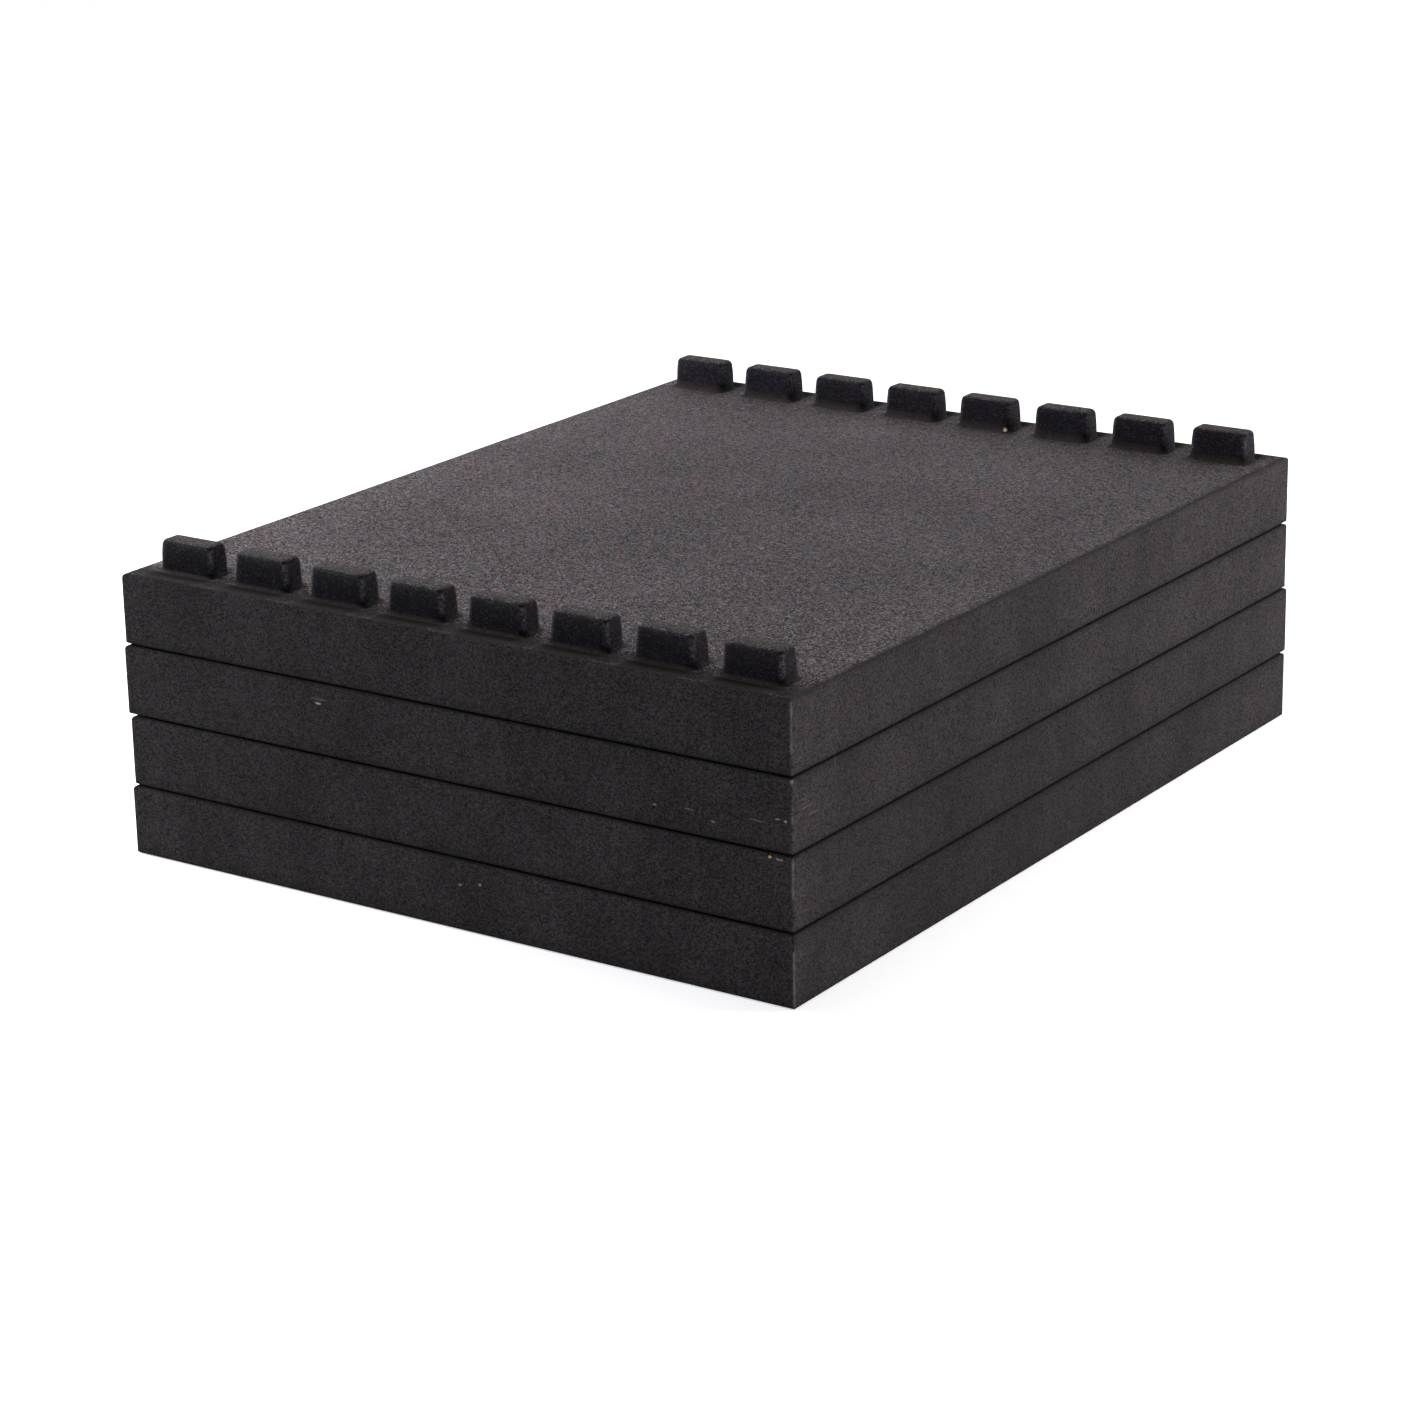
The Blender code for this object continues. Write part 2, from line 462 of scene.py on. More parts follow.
    def patch(self, block, rim, place, kind, upwards):
        """Fills the last loop with a grid. place(fraction_x, fraction_y) gives a point inside it."""
        i0, i1, j0, j1 = block
        known = dict(zip(around_block(*block), rim))
        for i in range(i0 + 1, i1):
            for j in range(j0 + 1, j1):
                known[(i, j)] = self.free(place(*self.fraction(block, i, j)), kind == TOOTH)
        for i in range(i0, i1):
            for j in range(j0, j1):
                quad = [known[(i, j)], known[(i + 1, j)], known[(i + 1, j + 1)], known[(i, j + 1)]]
                self.face(quad if upwards else quad[::-1], kind)

    def fraction(self, block, i, j):
        i0, i1, j0, j1 = block
        fx = 2 * (self.xs[i] - self.xs[i0]) / (self.xs[i1] - self.xs[i0]) - 1
        fy = 2 * (self.ys[j] - self.ys[j0]) / (self.ys[j1] - self.ys[j0]) - 1
        return fx, fy

    def tooth(self, number, row):
        i0 = self.cells_x[number]
        j0 = self.cells_y[row]
        block = (i0, i0 + CELL_STEPS_X, j0, j0 + CELL_STEPS_Y)
        rim = around_block(*block)
        fractions = [self.fraction(block, i, j) for i, j in rim]
        centre = Vector((tooth_x(number, row), ROWS_Y[row]))
        outer_sign = -1 if row == 0 else 1
        seed = self.seed + number * 3.1 + row * 31
        height = TOOTH_HEIGHT - CROWN_SINK[row] + 0.15 * MM * noise.noise(Vector((seed, 0, 0)))

        def outline(inset_x, inset_y, corner=TOOTH_CORNER):
            return rounded_outline(fractions, TOOTH_HALF_X - inset_x, TOOTH_HALF_Y - inset_y, corner)

        # how wide the fillet is at each point of the foot, and whether it is the tooth's or the skin's
        foot, outwards = outline(0, 0, FOOT_CORNER)
        flares = []
        fillet = []
        for out in outwards:
            facing_out = out.y * outer_sign
            along = FLARE_OUTER if facing_out > 0 else FLARE_INNER
            flares.append(FLARE_SIDE + (along - FLARE_SIDE) * abs(facing_out) ** 2)
            fillet.append(TOOTH if abs(facing_out) < END_FACING else SKIN)

        def ground(spot):
            return self.top + skin_height(spot.x, spot.y, self.seed)

        def arris(out):
            """1 on the tooth's upright edge and 0 on its flat sides."""
            return ARRIS_WEAR_AND_HIGHLIGHT[row] * (2 * out.x * out.y) ** 4

        loops = [[self.corner(i, j, len(self.zs) - 1) for i, j in rim]]
        cell_rim = [Vector((self.points[v][0], self.points[v][1])) for v in loops[0]]
        kinds = []

        # skin between the cell's rim and the foot
        skirt = [centre + p + out * (f + SKIRT) for p, out, f in zip(foot, outwards, flares)]
        for share in (0.72, 0.5, 0.32, 0.18, 0.08, 0.0):
            spots = [near.lerp(far, share) for near, far in zip(skirt, cell_rim)]
            loops.append([self.free((s.x, s.y, ground(s))) for s in spots])
            kinds.append(SKIN)

        # the crease at the foot, and the fillet up from it
        spots = [centre + p + out * (f + CREASE_REACH) for p, out, f in zip(foot, outwards, flares)]
        loops.append([self.free((s.x, s.y, ground(s) - CREASE_DEPTH)) for s in spots])
        kinds.append(SKIN)
        for turn in (1.0, 0.8, 0.6, 0.4, 0.2, 0.0):
            angle = turn * math.pi / 2
            loop = []
            for p, out, f, kind in zip(foot, outwards, flares, fillet):
                spot = centre + p + out * f * (1 - math.cos(angle))
                sunk = ground(spot) - self.top
                rise = f * (1 - math.sin(angle))
                loop.append(self.free((spot.x, spot.y, self.top + rise + sunk * turn)))
                if kind == TOOTH and turn < 1:
                    self.arrises[loop[-1]] = arris(out) * (1 - 0.4 * turn)
                    self.on_wall.add(loop[-1])
            loops.append(loop)
            kinds.append(SKIN if turn == 1.0 else fillet)

        # the tapering sides
        shoulder = height - CROWN_RADIUS
        for share in (0.25, 0.5, 0.75, 1.0):
            loop = []
            for index, f in enumerate(flares):
                z = f + (shoulder - f) * share
                taper = (z - f) / (TOOTH_HEIGHT - f)
                corner = max(TOOTH_CORNER, FOOT_CORNER + (TOOTH_CORNER - FOOT_CORNER) * 2 * taper)
                inside, _ = outline(TOOTH_TAPER_X * taper, TOOTH_TAPER_Y * taper, corner)
                spot = centre + inside[index]
                bulge = TOOTH_BULGE * waves(spot.x, spot.y, z, TOOTH_WAVES, seed)
                spot += outwards[index] * bulge
                loop.append(self.free((spot.x, spot.y, self.top + z)))
                self.arrises[loop[-1]] = arris(outwards[index])
                self.on_wall.add(loop[-1])
            loops.append(loop)
            kinds.append(TOOTH)

        # the rounded crown
        for turn in (0.2, 0.4, 0.6, 0.8, 1.0):
            angle = turn * math.pi / 2
            inset = CROWN_RADIUS * (1 - math.cos(angle))
            inside, _ = outline(TOOTH_TAPER_X + inset, TOOTH_TAPER_Y + inset, TOOTH_CORNER - inset * 0.8)
            z = shoulder + CROWN_RADIUS * math.sin(angle)
            spots = [centre + p for p in inside]
            loops.append([self.free((s.x, s.y, self.top + z), turn > 0.5) for s in spots])
            kinds.append(TOOTH)
        half_x = TOOTH_HALF_X - TOOTH_TAPER_X - CROWN_RADIUS
        half_y = TOOTH_HALF_Y - TOOTH_TAPER_Y - CROWN_RADIUS

        def on_crown(fx, fy):
            x = centre.x + fx * half_x
            y = centre.y + fy * half_y
            lift = 0.25 * MM * (1 - fx ** 2) * (1 - fy ** 2) + TOOTH_BULGE * waves(x, y, 0, CROWN_WAVES, seed)
            return (x, y, self.top + height + lift)

        self.rings(loops, kinds, True)
        self.patch(block, loops[-1], on_crown, TOOTH, True)

    def channel(self, row):
        first = self.cells_x[0]
        last = self.cells_x[-1] + CELL_STEPS_X
        j0 = self.cells_y[row]
        block = (first, last, j0, j0 + CELL_STEPS_Y)
        rim = around_block(*block)
        fractions = [self.fraction(block, i, j) for i, j in rim]
        centre = Vector((MIDDLE_X + CELL_SHIFT, ROWS_Y[row]))
        half_x = (TEETH - 1) / 2 * CELL_PITCH + TOOTH_HALF_X + CHANNEL_CLEARANCE
        half_y = TOOTH_HALF_Y + CHANNEL_CLEARANCE
        walls, outwards = rounded_outline(fractions, half_x, half_y, CHANNEL_CORNER)
        loops = [[self.corner(i, j, 0) for i, j in rim]]
        for turn in (1.0, 0.8, 0.6, 0.4, 0.2, 0.0):
            angle = turn * math.pi / 2
            out_by = CHANNEL_MOUTH * (1 - math.cos(angle))
            z = self.bottom + CHANNEL_MOUTH * (1 - math.sin(angle))
            loops.append([self.free((*(centre + p + out * out_by), z)) for p, out in zip(walls, outwards)])
        roof = self.bottom + CHANNEL_DEPTH
        for share in (0.35, 0.7, 0.94, 1.0):
            z = self.bottom + CHANNEL_MOUTH + (CHANNEL_DEPTH - CHANNEL_MOUTH) * share
            rounding = CHANNEL_ROOF * max(0.0, (share - 0.94) / 0.06)
            inside, _ = rounded_outline(fractions, half_x - TOOTH_TAPER_Y * share - rounding,
                                        half_y - TOOTH_TAPER_Y * share - rounding, CHANNEL_CORNER)
            loops.append([self.free((*(centre + p), z)) for p in inside])
        inner_x = half_x - TOOTH_TAPER_Y - CHANNEL_ROOF
        inner_y = half_y - TOOTH_TAPER_Y - CHANNEL_ROOF

        def on_roof(fx, fy):
            return (centre.x + fx * (inner_x - 1 * MM), centre.y + fy * (inner_y - 1 * MM), roof)

        self.rings(loops, [SKIN] * (len(loops) - 1), False)
        self.patch(block, loops[-1], on_roof, SKIN, False)

    def build(self):
        top_blocks = []
        bottom_blocks = []
        for j0 in self.cells_y:
            for i0 in self.cells_x:
                top_blocks.append((i0, i0 + CELL_STEPS_X, j0, j0 + CELL_STEPS_Y))
            bottom_blocks.append((self.cells_x[0], self.cells_x[-1] + CELL_STEPS_X, j0, j0 + CELL_STEPS_Y))
        self.sheet(len(self.zs) - 1, True, top_blocks)
        self.sheet(0, False, bottom_blocks)
        self.walls()
        self.round_edges()
        self.uneven()
        for row in range(len(ROWS_Y)):
            for number in range(TEETH):
                self.tooth(number, row)
            self.channel(row)

    def skin_look(self, x, y, z):
        """How plain the skin is (0 grainy, 1 smooth) and the painted light and shade on it, for a vertex on the
        upper side.
        """
        if z < self.top - MOULDED_RADIUS:
            return 0.0, 1.0
        away, px, py, is_outer = distance_to_tooth(x, y)
        across = py / (math.hypot(px, py) + 1e-9)
        reach = (1.0 if is_outer else 2.6) * MM * (0.35 + 0.65 * across)
        plain = math.exp(-(max(away, 0.0) / reach) ** 4)
        # painted shade in the crease round the foot of a tooth
        tone = 0.75 if away < 1 * MM else 0.88 if away < 2.5 * MM else 1.0
        beyond = max(ROWS_Y[0] - y, y - ROWS_Y[1]) / MM
        if beyond < -STRIP_START:
            return plain, tone

        gap, dull = gap_light_and_shade(beyond, y > ROWS_Y[1])
        beside = smooth_step((px - TOOTH_CORNER + 2 * MM) / (7 * MM))
        in_front = (1 - beside) * clamp(beyond - FOOT_LINE)
        fade = clamp((z - self.top + MOULDED_RADIUS) / (2.5 * MM))
        # painted light and shade on the strip outside the row
        outside = gap + (front_light_and_shade(beyond) - gap) * in_front
        return max(plain, in_front, dull) * fade, 1 + (tone * outside - 1) * fade

    def masks(self, node):
        """What the materials need to know of each vertex: shade is painted light and shade, a tone around 1, and
        the rest go from 0 to 1.
        """
        level = MATS.index(node)
        is_top = level == len(MATS) - 1
        names = ("plain", "seam", "fringe", "corner", "crown", "arris", "shade", "coarse")
        values = {name: [] for name in names}
        for index, (x, y, z) in enumerate(self.points):
            plain, skin_shading = self.skin_look(x, y, z)
            values["plain"].append(plain)
            from_right = self.high[0] - x
            from_front = y - self.low[1]

            # painted shade along the seams, where two mats meet; on the top mat only the right-hand edge is darker,
            # and more softly
            lip = max(0.0, min(self.top - z, z - self.bottom))
            inwards = max(0.0, min(from_right, from_front) - 0.3 * MM)
            seam = math.exp(-((inwards + lip) / SEAM_WIDTH) ** 2)
            fringe = 0.0
            if is_top and self.top - z < 10 * MM:
                seam = 0.0
                below = max(0.0, self.top - z - CUT_RADIUS)
                fringe = math.exp(-(max(0.0, from_right) / EDGE_FRINGE[0]) ** 1.5 - (below / EDGE_FRINGE[1]) ** 2)
            values["seam"].append(seam)
            values["fringe"].append(fringe)
            upright = max(from_right, from_front)
            values["corner"].append(math.exp(-(max(upright, 0.0) / CORNER_WIDTH) ** 2))
            values["crown"].append(1.0 if index in self.crowns else 0.0)
            values["arris"].append(self.arrises.get(index, 0.0))

            # painted light and shade: the teeth's walls darker, graded along the front row; the trimmed sides and
            # fronts take their painted tones; the skin is painted paler towards the left-hand end
            along_x = (x - self.low[0]) / (self.high[0] - self.low[0])
            if index in self.on_wall or z > self.top + 3 * MM:
                shade = WALL_PAINTED_SHADE[0] * (0.8 + 0.4 * along_x) if y < ROWS_Y[0] + 2 * CELL_HALF_Y else WALL_PAINTED_SHADE[1]
            elif from_right < 1 * MM:
                shade = self.side_shade(level, y, z)
            elif from_front < 1 * MM:
                shade = FRONT_LIGHT_AND_SHADE[level]
            else:
                shade = skin_shading * (0.94 + 0.22 * math.exp(-along_x / 0.09) + 0.04 * (1 - along_x))
            values["shade"].append(shade)
            values["coarse"].append(math.exp(-from_front / COARSE_REACH))
        return values

    def side_shade(self, level, y, z):
        """Painted light and shade on the right-hand side: paler at both ends, and darker under the seams, a painted
        shade.
        """
        from_front = y - self.low[1]
        shade = SIDE_LIGHT_AND_SHADE[level] + 0.30 * math.exp(-from_front / (18 * MM))
        shade -= 0.16 * math.exp(-((from_front - 125 * MM) / (60 * MM)) ** 2)
        shade += 0.12 * math.exp(-(self.high[1] - y) / (60 * MM))
        if level < len(MATS) - 1:
            shade *= 1 - 0.5 * math.exp(-max(self.top - z, 0.0) / (2.6 * MM))
        return shade


def make_mat(node, seed, materials):
    build = MatMesh(node, seed)
    build.build()
    data = bpy.data.meshes.new(node + "_foam")
    data.from_pydata(build.points, [], build.faces)
    data.polygons.foreach_set("material_index", build.kinds)
    for material in materials:
        data.materials.append(material)
    for name, values in build.masks(node).items():
        data.attributes.new(name, "FLOAT", "POINT").data.foreach_set("value", values)
    data.shade_smooth()
    data.validate()
    piece = bpy.data.objects.new(node + "_foam", data)
    bpy.context.scene.collection.objects.link(piece)
    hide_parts(node)
    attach(piece, node)
    return piece


# ---------------------------------------------------------------- materials

class Nodes:
    """Short forms for building a material's nodes. Scales are in cells or waves to a metre."""

    def __init__(self, name):
        self.material = bpy.data.materials.new(name)
        self.material.use_nodes = True
        self.tree = self.material.node_tree
        self.shader = self.tree.nodes["Principled BSDF"]
        self.place = self.tree.nodes.new("ShaderNodeTexCoord").outputs["Object"]

    def link(self, source, target):
        self.tree.links.new(source, target)

    def set(self, socket, value):
        if isinstance(value, tuple):
            socket.default_value = (*value, 1.0)
        elif isinstance(value, (int, float)):
            socket.default_value = value
        else:
            self.link(value, socket)

    def stretched(self, stretch):
        if stretch is None:
            return self.place
        node = self.tree.nodes.new("ShaderNodeMapping")
        node.inputs["Scale"].default_value = stretch
        self.link(self.place, node.inputs["Vector"])
        return node.outputs["Vector"]

    def noise(self, scale, detail=2.0, roughness=0.5, stretch=None, output="Fac"):
        node = self.tree.nodes.new("ShaderNodeTexNoise")
        node.inputs["Scale"].default_value = scale
        node.inputs["Detail"].default_value = detail
        node.inputs["Roughness"].default_value = roughness
        self.link(self.stretched(stretch), node.inputs["Vector"])
        return node.outputs[output]

    def cells(self, scale, output="Distance"):
        node = self.tree.nodes.new("ShaderNodeTexVoronoi")
        node.inputs["Scale"].default_value = scale
        self.link(self.place, node.inputs["Vector"])
        return node.outputs[output]

    def mask(self, name):
        """A value that the mesh carries at each of its vertices."""
        node = self.tree.nodes.new("ShaderNodeAttribute")
        node.attribute_name = name
        return node.outputs["Fac"]

    def distance(self, centre, half_size):
        """Distance from a point, in half sizes along each axis."""
        node = self.tree.nodes.new("ShaderNodeMapping")
        node.vector_type = "TEXTURE"
        node.inputs["Location"].default_value = centre
        node.inputs["Scale"].default_value = half_size
        self.link(self.place, node.inputs["Vector"])
        length = self.tree.nodes.new("ShaderNodeVectorMath")
        length.operation = "LENGTH"
        self.link(node.outputs["Vector"], length.inputs["Vector"])
        return length.outputs["Value"]

    def spread(self, value, low, high, to_low=0.0, to_high=1.0):
        """Stretches the values from low to high over the values from to_low to to_high, and clamps the rest."""
        node = self.tree.nodes.new("ShaderNodeMapRange")
        node.inputs["From Min"].default_value = low
        node.inputs["From Max"].default_value = high
        node.inputs["To Min"].default_value = to_low
        node.inputs["To Max"].default_value = to_high
        self.link(value, node.inputs["Value"])
        return node.outputs["Result"]

    def math(self, operation, a, b):
        node = self.tree.nodes.new("ShaderNodeMath")
        node.operation = operation
        self.set(node.inputs[0], a)
        self.set(node.inputs[1], b)
        return node.outputs["Value"]

    def red(self, colour):
        node = self.tree.nodes.new("ShaderNodeSeparateColor")
        self.link(colour, node.inputs["Color"])
        return node.outputs["Red"]

    def mix(self, amount, a, b, blend="MIX"):
        node = self.tree.nodes.new("ShaderNodeMix")
        node.data_type = "RGBA"
        node.blend_type = blend
        self.set(node.inputs["Factor"], amount)
        self.set(node.inputs[6], a)
        self.set(node.inputs[7], b)
        return node.outputs[2]

    def times(self, colour, value):
        """A colour made lighter or darker by a grey value."""
        node = self.tree.nodes.new("ShaderNodeVectorMath")
        node.operation = "SCALE"
        self.link(colour, node.inputs["Vector"])
        self.set(node.inputs["Scale"], value)
        return node.outputs["Vector"]

    def bump(self, height, distance, strength, before=None):
        node = self.tree.nodes.new("ShaderNodeBump")
        node.inputs["Distance"].default_value = distance
        self.set(node.inputs["Strength"], strength)
        self.link(height, node.inputs["Height"])
        if before is not None:
            self.link(before, node.inputs["Normal"])
        return node.outputs["Normal"]

    def finish(self, colour, roughness, normal, specular):
        self.link(colour, self.shader.inputs["Base Color"])
        self.link(roughness, self.shader.inputs["Roughness"])
        self.link(normal, self.shader.inputs["Normal"])
        self.shader.inputs["Specular IOR Level"].default_value = specular
        return self.material


# Marks on the mats: centre and half size in mm, strength, colour
SKIN_MARKS = (
    ((31.0, 176.5, 120.0), (1.1, 1.5, 1.2), 1.0, (0.42, 0.35, 0.25)),       # a crumb at the foot of a tooth
    ((43.0, -41.6, 119.6), (0.9, 1.5, 1.5), 0.8, (0.25, 0.23, 0.22)),
    ((158.8, -156.2, 119.6), (1.6, 1.4, 1.5), 0.9, (0.004, 0.0035, 0.0035)),    # a nick in the edge
)
CUT_MARKS = (
    ((-59.5, -201.7, 81.0), (1.7, 2.0, 0.5), 1.0, (0.24, 0.185, 0.15)),     # a scuff, with a fainter streak over it
    ((-58.6, -201.7, 82.8), (5.2, 2.0, 0.6), 0.55, (0.075, 0.065, 0.062)),
    ((100.0, -201.7, 68.6), (1.2, 2.0, 0.5), 0.8, (0.12, 0.11, 0.105)),
    ((115.3, -201.7, 69.6), (2.4, 2.0, 0.5), 0.55, (0.10, 0.09, 0.09)),
    ((125.8, -201.7, 66.7), (1.2, 2.0, 0.6), 0.7, (0.11, 0.10, 0.10)),
    ((145.8, -201.7, 70.7), (4.5, 2.0, 0.45), 0.45, (0.09, 0.08, 0.08)),
    ((154.0, -201.7, 72.9), (1.4, 2.0, 0.5), 0.8, (0.14, 0.13, 0.125)),
    ((157.6, -201.7, 72.6), (0.8, 2.0, 0.6), 0.9, (0.17, 0.16, 0.155)),
    ((160.0, -201.3, 88.2), (0.9, 0.9, 0.9), 0.8, (0.13, 0.13, 0.145)),
    ((160.4, -192.0, 76.0), (2.0, 5.0, 0.45), 0.4, (0.08, 0.074, 0.072)),
    ((160.4, -188.0, 72.5), (2.0, 4.0, 0.55), 0.45, (0.085, 0.08, 0.075)),
    ((160.4, -195.0, 79.5), (2.0, 2.5, 0.45), 0.4, (0.08, 0.074, 0.072)),
    # a painted orange glint on a small fleck
    ((150.5, -201.7, 57.7), (0.8, 2.0, 0.6), 1.0, (0.36, 0.22, 0.07)),
    ((154.6, -201.7, 57.4), (2.0, 2.0, 0.5), 0.7, (0.16, 0.15, 0.145)),
    ((7.3, -201.7, 18.6), (0.8, 2.0, 0.6), 0.9, (0.15, 0.14, 0.135)),
    ((17.0, -201.7, 20.5), (0.9, 2.0, 0.7), 0.9, (0.17, 0.155, 0.15)),
    ((160.4, -172.8, 88.0), (2.0, 0.4, 7.0), 0.4, (0.06, 0.056, 0.058)),    # a scratch
)


def marked(n, colour, marks):
    """Small scuffs and specks with broken edges."""
    ragged = n.noise(900, 2.0, 0.6)
    for centre, half_size, strength, mark_colour in marks:
        distance = n.distance([c * MM for c in centre], [h * MM for h in half_size])
        amount = n.spread(n.math("ADD", distance, ragged), 1.15, 1.45, strength, 0.0)
        colour = n.mix(amount, colour, mark_colour)
    return colour


def skin_material():
    """The moulded skin: a hard fine pebble, each grain of its own tone, with painted glints on the harsh grain near
    the front, smooth and brown in the troughs, where painted shade darkens it.
    """
    n = Nodes("foam_skin")
    plain = n.mask("plain")
    coarse = n.mask("coarse")
    grain_scale = 1650
    tone = n.red(n.cells(grain_scale, "Color"))
    tint = n.noise(330, 1.0, 0.5, output="Color")
    cloud = n.spread(n.noise(11, 4.0, 0.65), 0.3, 0.7)

    base = n.mix(cloud, (0.0512, 0.0432, 0.0470), (0.0738, 0.0622, 0.0676))
    base = n.mix(0.42, base, tint, "OVERLAY")
    even = n.times(base, n.spread(tone, 0.0, 1.0, 0.22, 1.82))
    harsh_with_glints = n.times(base, n.spread(tone, 0.1, 0.85, 0.0, 1.6))
    # painted glints on the tops of the brightest grains
    harsh_with_glints = n.mix(n.spread(tone, 0.84, 1.0), harsh_with_glints, (0.25, 0.205, 0.215))
    grains = n.mix(coarse, even, harsh_with_glints)
    # the smooth skin of the troughs and the strip: brown, and darkened by painted shade
    smooth = n.mix(cloud, (0.0225, 0.0178, 0.0178), (0.0285, 0.0226, 0.0226))
    smooth = n.times(smooth, n.spread(tone, 0.0, 1.0, 0.7, 1.3))
    # painted light and shade carried by the mesh
    colour = n.times(n.mix(plain, grains, smooth), n.mask("shade"))
    colour = n.mix(n.mask("fringe"), colour, (0.0135, 0.0112, 0.0112))
    # painted shade along the seams between the mats
    colour = n.mix(n.mask("seam"), colour, (0.002, 0.0016, 0.0016))
    colour = marked(n, colour, SKIN_MARKS)

    rough = n.math("MAXIMUM", n.spread(tone, 0.0, 1.0, 0.8, 0.55), plain)
    normal = n.bump(n.cells(grain_scale), 0.6 * MM, n.spread(plain, 0.0, 1.0, 1.0, 0.15))
    return n.finish(colour, rough, normal, 0.05)


def cut_material():
    """The trimmed sides: cut cells without a skin, dull, clouded and pricked with pores, with painted light and
    shade, painted shade along the seams and a painted highlight on the upright corner.
    """
    n = Nodes("foam_cut")
    grain_scale = 1900
    tone = n.red(n.cells(grain_scale, "Color"))
    pores = n.spread(n.cells(340), 0.07, 0.13)
    tint = n.noise(560, 1.0, 0.5, output="Color")
    cloud = n.spread(n.noise(24, 5.0, 0.7, (1.0, 1.0, 0.5)), 0.3, 0.7)
    ragged = n.noise(190, 3.0, 0.6)
    # painted shade along the seams between the mats, with ragged edges
    seam_shade = n.math("MULTIPLY", n.mask("seam"), n.spread(ragged, 0.16, 0.32))
    # a painted highlight along the upright corner
    edge_highlight = n.math("MULTIPLY", n.mask("corner"), n.spread(ragged, 0.4, 0.6))

    base = n.mix(cloud, (0.0138, 0.0112, 0.0126), (0.0268, 0.0222, 0.0246))
    base = n.mix(0.45, base, tint, "OVERLAY")
    # painted light and shade of each trimmed side
    base = n.times(base, n.mask("shade"))
    grains = n.times(base, n.spread(tone, 0.0, 1.0, 0.2, 1.8))
    pitted = n.mix(pores, (0.0035, 0.003, 0.0035), grains)
    edged = n.mix(edge_highlight, pitted, (0.125, 0.118, 0.124))
    colour = n.mix(n.math("MULTIPLY", n.mask("fringe"), 0.6), edged, (0.0085, 0.0070, 0.0072))
    colour = n.mix(seam_shade, colour, (0.0012, 0.001, 0.0012))
    colour = marked(n, colour, CUT_MARKS)

    rough = n.spread(tone, 0.0, 1.0, 0.95, 0.8)
    normal = n.bump(pores, 0.4 * MM, 0.6)
    normal = n.bump(n.cells(grain_scale), 0.25 * MM, 0.4, normal)
    return n.finish(colour, rough, normal, 0.12)


def tooth_material():
    """The teeth: the same foam pressed denser and darker, with a dry speckled crown that carries painted glints,
    walls darkened by painted shade, and upright edges painted pale, partly wear and partly painted highlight.
    """
    n = Nodes("foam_tooth")
    crown = n.mask("crown")
    grain_scale = 1800
    tone = n.red(n.cells(grain_scale, "Color"))
    tint = n.noise(330, 1.0, 0.5, output="Color")
    cloud = n.spread(n.noise(60, 2.0, 0.5), 0.3, 0.7)
    # the upright edges painted pale: partly wear, partly painted highlight
    edge_highlight = n.math("MULTIPLY", n.mask("arris"), n.spread(n.noise(900, 2.0, 0.6), 0.30, 0.62, 0.35, 1.25))

    wall = n.mix(cloud, (0.0062, 0.0041, 0.0086), (0.0095, 0.0065, 0.0130))
    # painted shade: the walls darkened row by row, and graded along the front row
    wall = n.times(wall, n.mask("shade"))
    base = n.mix(crown, wall, (0.0232, 0.0178, 0.0192))
    base = n.mix(0.6, base, tint, "OVERLAY")
    base = n.mix(edge_highlight, base, (0.056, 0.052, 0.064))
    grains = n.times(base, n.spread(tone, 0.0, 1.0, 0.3, 1.7))
    # painted glints on the brightest grains, strongest on the crown
    glint = n.math("MULTIPLY", n.spread(tone, 0.84, 1.0), n.spread(crown, 0.0, 1.0, 0.18, 1.0))
    colour = n.mix(glint, grains, (0.095, 0.084, 0.090))

    rough = n.spread(tone, 0.0, 1.0, 0.8, 0.6)
    normal = n.bump(n.cells(grain_scale), 0.4 * MM, 0.6)
    return n.finish(colour, rough, normal, 0.09)


def floor_material():
    """A light table: white, and lit a little from inside, so that the mats leave next to no shadow on it."""
    n = Nodes("studio_floor")
    n.shader.inputs["Emission Color"].default_value = (0.98, 0.97, 1.0, 1.0)
    n.shader.inputs["Emission Strength"].default_value = 0.50
    tone = n.spread(n.noise(3, 2.0, 0.5), 0.3, 0.7)
    colour = n.mix(tone, (0.80, 0.80, 0.80), (0.82, 0.82, 0.82))
    rough = n.spread(n.noise(8, 2.0, 0.5), 0.3, 0.7, 0.85, 0.95)
    normal = n.bump(n.noise(40, 2.0, 0.5), 0.1 * MM, 0.1)
    return n.finish(colour, rough, normal, 0.2)


# ---------------------------------------------------------------- studio

def make_floor():
    half = 8.0
    data = bpy.data.meshes.new("studio_floor")
    data.from_pydata([(-half, -half, 0), (half, -half, 0), (half, half, 0), (-half, half, 0)], [], [(0, 1, 2, 3)])
    data.materials.append(floor_material())
    floor = bpy.data.objects.new("studio_floor", data)
    floor.location.z = cad_low[2] - 0.3 * MM
    bpy.context.scene.collection.objects.link(floor)


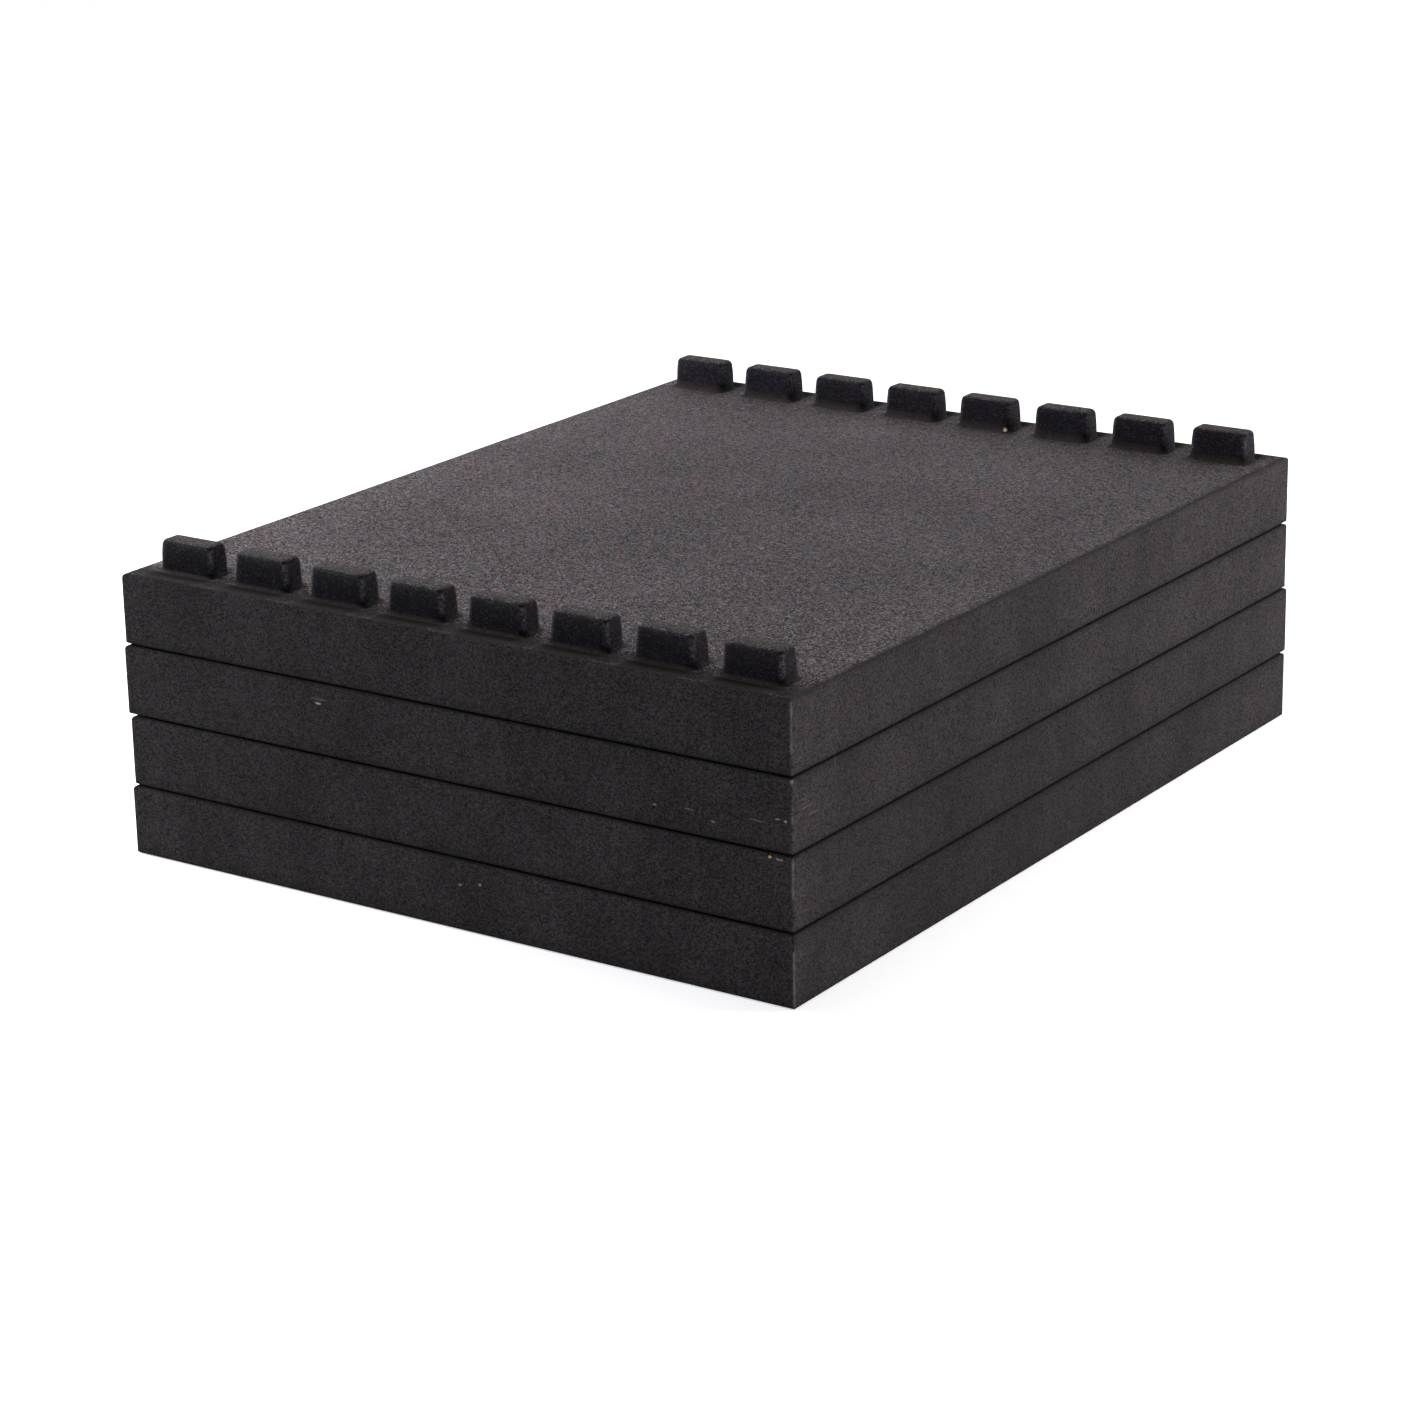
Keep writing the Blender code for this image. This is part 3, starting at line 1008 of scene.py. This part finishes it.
def soft_sun(name, towards, strength, spread_angle):
    """A broad even light from far away. towards is the direction from the mats to the light."""
    data = bpy.data.lights.new(name, "SUN")
    data.energy = strength
    data.angle = math.radians(spread_angle)
    lamp = bpy.data.objects.new(name, data)
    lamp.rotation_euler = Vector(towards).to_track_quat("Z", "Y").to_euler()
    bpy.context.scene.collection.objects.link(lamp)


def softbox(name, place, target, watts, side, colour):
    """A square light at a place, turned to a target."""
    data = bpy.data.lights.new(name, "AREA")
    data.shape = "SQUARE"
    data.size = side
    data.energy = watts
    data.color = colour
    lamp = bpy.data.objects.new(name, data)
    lamp.location = place
    lamp.rotation_euler = (Vector(place) - Vector(target)).to_track_quat("Z", "Y").to_euler()
    bpy.context.scene.collection.objects.link(lamp)


def make_lights():
    world = bpy.data.worlds.new("studio")
    world.use_nodes = True
    world.node_tree.nodes["Background"].inputs["Color"].default_value = (0.98, 0.96, 1.0, 1.0)
    world.node_tree.nodes["Background"].inputs["Strength"].default_value = 0.30
    bpy.context.scene.world = world
    soft_sun("key_from_behind", (-0.25, 0.70, 0.66), 1.55, 50)
    softbox("left_box", (-0.75, -0.22, 0.55), (0, 0, 0.10), 13, 0.5, (0.97, 1.0, 1.02))
    softbox("right_box", (1.0, 0.7, 0.45), (0.16, 0.05, 0.06), 16.5, 0.7, (1.0, 0.985, 0.945))


def make_camera():
    """The photograph's view: from the right of the front, looking down on the top mat."""
    place = (0.8716, -1.2934, 0.5421)
    heading = math.radians(124.46)      # from +X, anticlockwise from above
    down = math.radians(18.01)
    roll = math.radians(-1.094)
    data = bpy.data.cameras.new("camera")
    data.sensor_width = 36.0
    data.lens = 98.56
    data.dof.use_dof = False
    camera = bpy.data.objects.new("camera", data)
    turn = Matrix.Rotation(heading - math.pi / 2, 4, "Z")
    tilt = Matrix.Rotation(math.pi / 2 - down, 4, "X")
    lean = Matrix.Rotation(roll, 4, "Z")
    camera.matrix_world = Matrix.Translation(place) @ turn @ tilt @ lean
    bpy.context.scene.collection.objects.link(camera)
    bpy.context.scene.camera = camera


# ---------------------------------------------------------------- the scene

make_camera()
foam = [skin_material(), cut_material(), tooth_material()]
for level, mat_name in enumerate(MATS):
    make_mat(mat_name, SEED_STEP * (level + 1), foam)
make_floor()
make_lights()
bpy.context.scene.view_settings.view_transform = "Standard"
